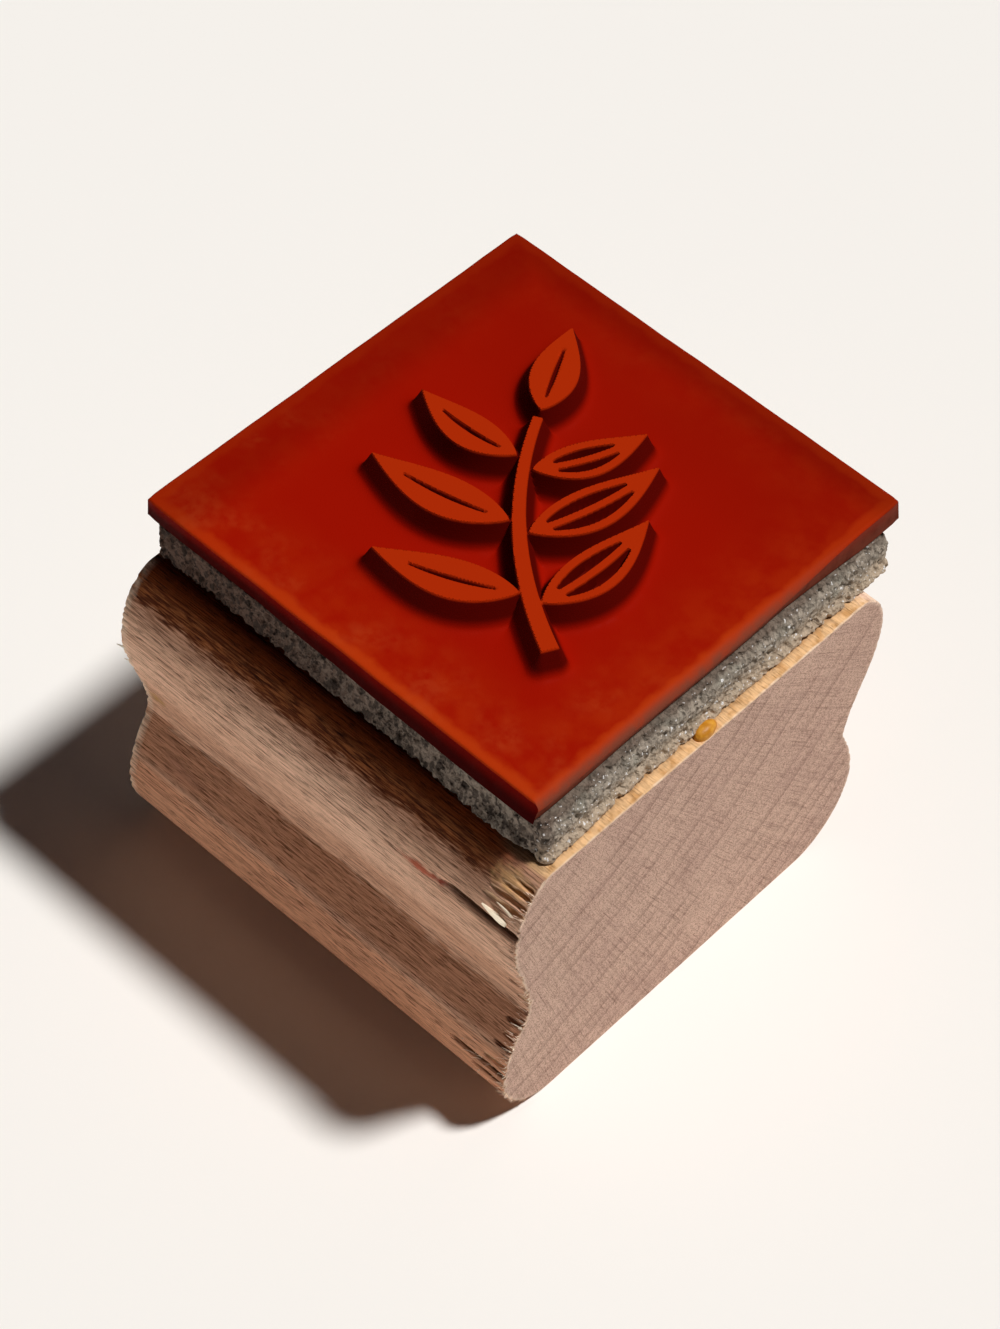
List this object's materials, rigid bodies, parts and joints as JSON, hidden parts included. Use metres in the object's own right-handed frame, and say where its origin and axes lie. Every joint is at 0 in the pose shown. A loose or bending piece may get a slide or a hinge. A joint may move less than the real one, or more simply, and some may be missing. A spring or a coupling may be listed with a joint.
{
  "type": "wood mounted rubber stamp",
  "caption": "Grooved hardwood block carrying a foam cushion and a red rubber die with a raised leaf sprig, pressed by hand to print; the die gives on its cushion.",
  "frame": {"origin": "middle of the block's flat handle face, which lies on the table", "axes": "+Z from the handle face up to the rubber die, +X along the grain towards the end with the bare wood strip, +Y across the moulded profile towards the side where the die overhangs"},
  "size_m": [0.0345, 0.0365, 0.032],
  "materials": {
    "beech": "sawn and moulded, unfinished",
    "adhesive_film": "satin",
    "amber_glue": "gloss",
    "grey_foam": "open cut cells, matte",
    "red_rubber": "moulded, dry matte"
  },
  "bodies": {
    "mount": {"wood_block": "beech", "cushion_adhesive": "adhesive_film", "glue_drop": "amber_glue", "foam_cushion": "grey_foam"},
    "die": {"die_adhesive": "adhesive_film", "rubber_die": "red_rubber"}
  },
  "joints": [
    {"name": "die_press", "type": "slide", "parent": "mount", "child": "die", "axis": [0, 0, -1], "range_m": [0, 0.0009], "stiffness_N_per_m": 33000, "deforming": ["foam_cushion"]}
  ]
}
